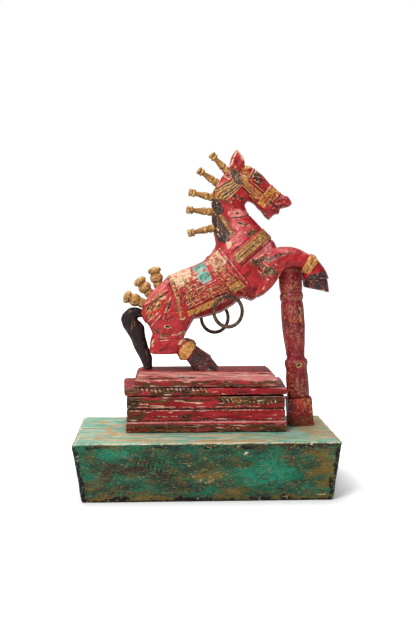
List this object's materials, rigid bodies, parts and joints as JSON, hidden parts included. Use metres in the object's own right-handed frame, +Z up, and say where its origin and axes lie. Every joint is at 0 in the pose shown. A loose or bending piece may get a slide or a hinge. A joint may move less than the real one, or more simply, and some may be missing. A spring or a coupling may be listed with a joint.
{
  "type": "carved wooden horse figure on a stand",
  "caption": "Carved and painted wooden horse rearing over a turned post, built together with its stepped pedestal and hewn plinth, with loose iron rings at its sides.",
  "frame": {"origin": "middle of the plinth's underside", "axes": "+Z up, +X the way the horse faces, +Y away from the side the picture shows"},
  "size_m": [0.3731, 0.216, 0.4895],
  "materials": {
    "plinth_paint": "worn green paint over bare brown wood",
    "pedestal_paint": "faded matt red paint",
    "post_paint": "worn red paint",
    "horse_paint": "worn red paint with gold, cream, black and teal harness",
    "gold_paint": "rubbed ochre gold paint",
    "tail_paint": "worn black paint over red",
    "iron": "dark hand-forged iron with brown rust"
  },
  "bodies": {
    "carving": {"plinth": "plinth_paint", "pedestal_base": "pedestal_paint", "pedestal_cornice": "pedestal_paint", "pedestal_top": "pedestal_paint", "post": "post_paint", "horse": "horse_paint", "tail": "tail_paint", "mane_peg_1": "gold_paint", "mane_peg_2": "gold_paint", "mane_peg_3": "gold_paint", "mane_peg_4": "gold_paint", "mane_peg_5": "gold_paint", "rump_finial_1": "gold_paint", "rump_finial_2": "gold_paint", "rump_finial_3": "gold_paint", "ring_eye_near": "iron", "ring_eye_far": "iron"},
    "near_ring": {"ring_near": "iron"},
    "far_ring": {"ring_far": "iron"}
  },
  "joints": [
    {"name": "near_ring_swing", "type": "hinge", "parent": "carving", "child": "near_ring", "pos_m": [0.0338, -0.009, 0.2767], "axis": [-1, 0, 0], "range_deg": [0, 85]},
    {"name": "far_ring_swing", "type": "hinge", "parent": "carving", "child": "far_ring", "pos_m": [0.0188, 0.0715, 0.2623], "axis": [1, 0, 0], "range_deg": [0, 85]}
  ]
}
